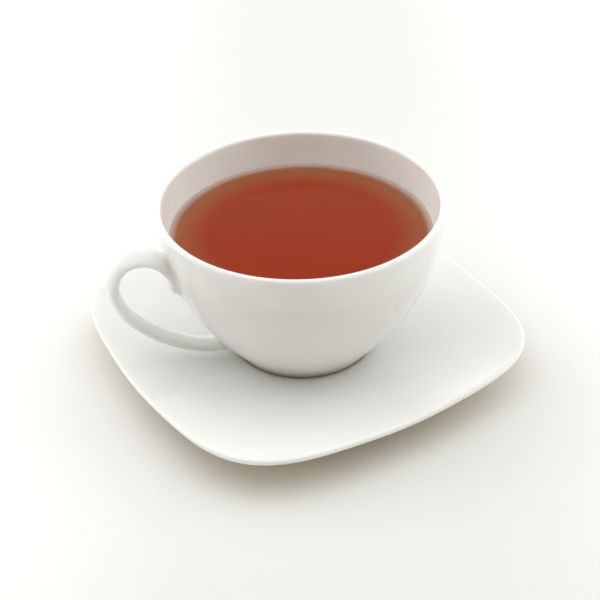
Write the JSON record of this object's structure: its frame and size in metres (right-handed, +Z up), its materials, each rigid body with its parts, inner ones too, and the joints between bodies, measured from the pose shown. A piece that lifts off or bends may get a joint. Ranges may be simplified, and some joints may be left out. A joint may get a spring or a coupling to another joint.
{
  "type": "cup of tea on a saucer",
  "caption": "Round white porcelain cup with a strap loop handle, filled with clear red-brown tea, standing on a rounded-square white saucer with raised corners.",
  "frame": {"origin": "on the table, under the middle of the saucer, which is also the cup's axis", "axes": "+Z up along the cup's axis; X and Y along the saucer's sides; the cup's handle points to -X, turned 12.5 degrees towards +Y"},
  "size_m": [0.14, 0.14, 0.0662],
  "materials": {
    "porcelain": "smooth clear glaze over a white body",
    "tea": "still, clear liquid surface"
  },
  "bodies": {
    "root": {"saucer": "porcelain", "cup": "porcelain", "tea": "tea"}
  },
  "joints": []
}
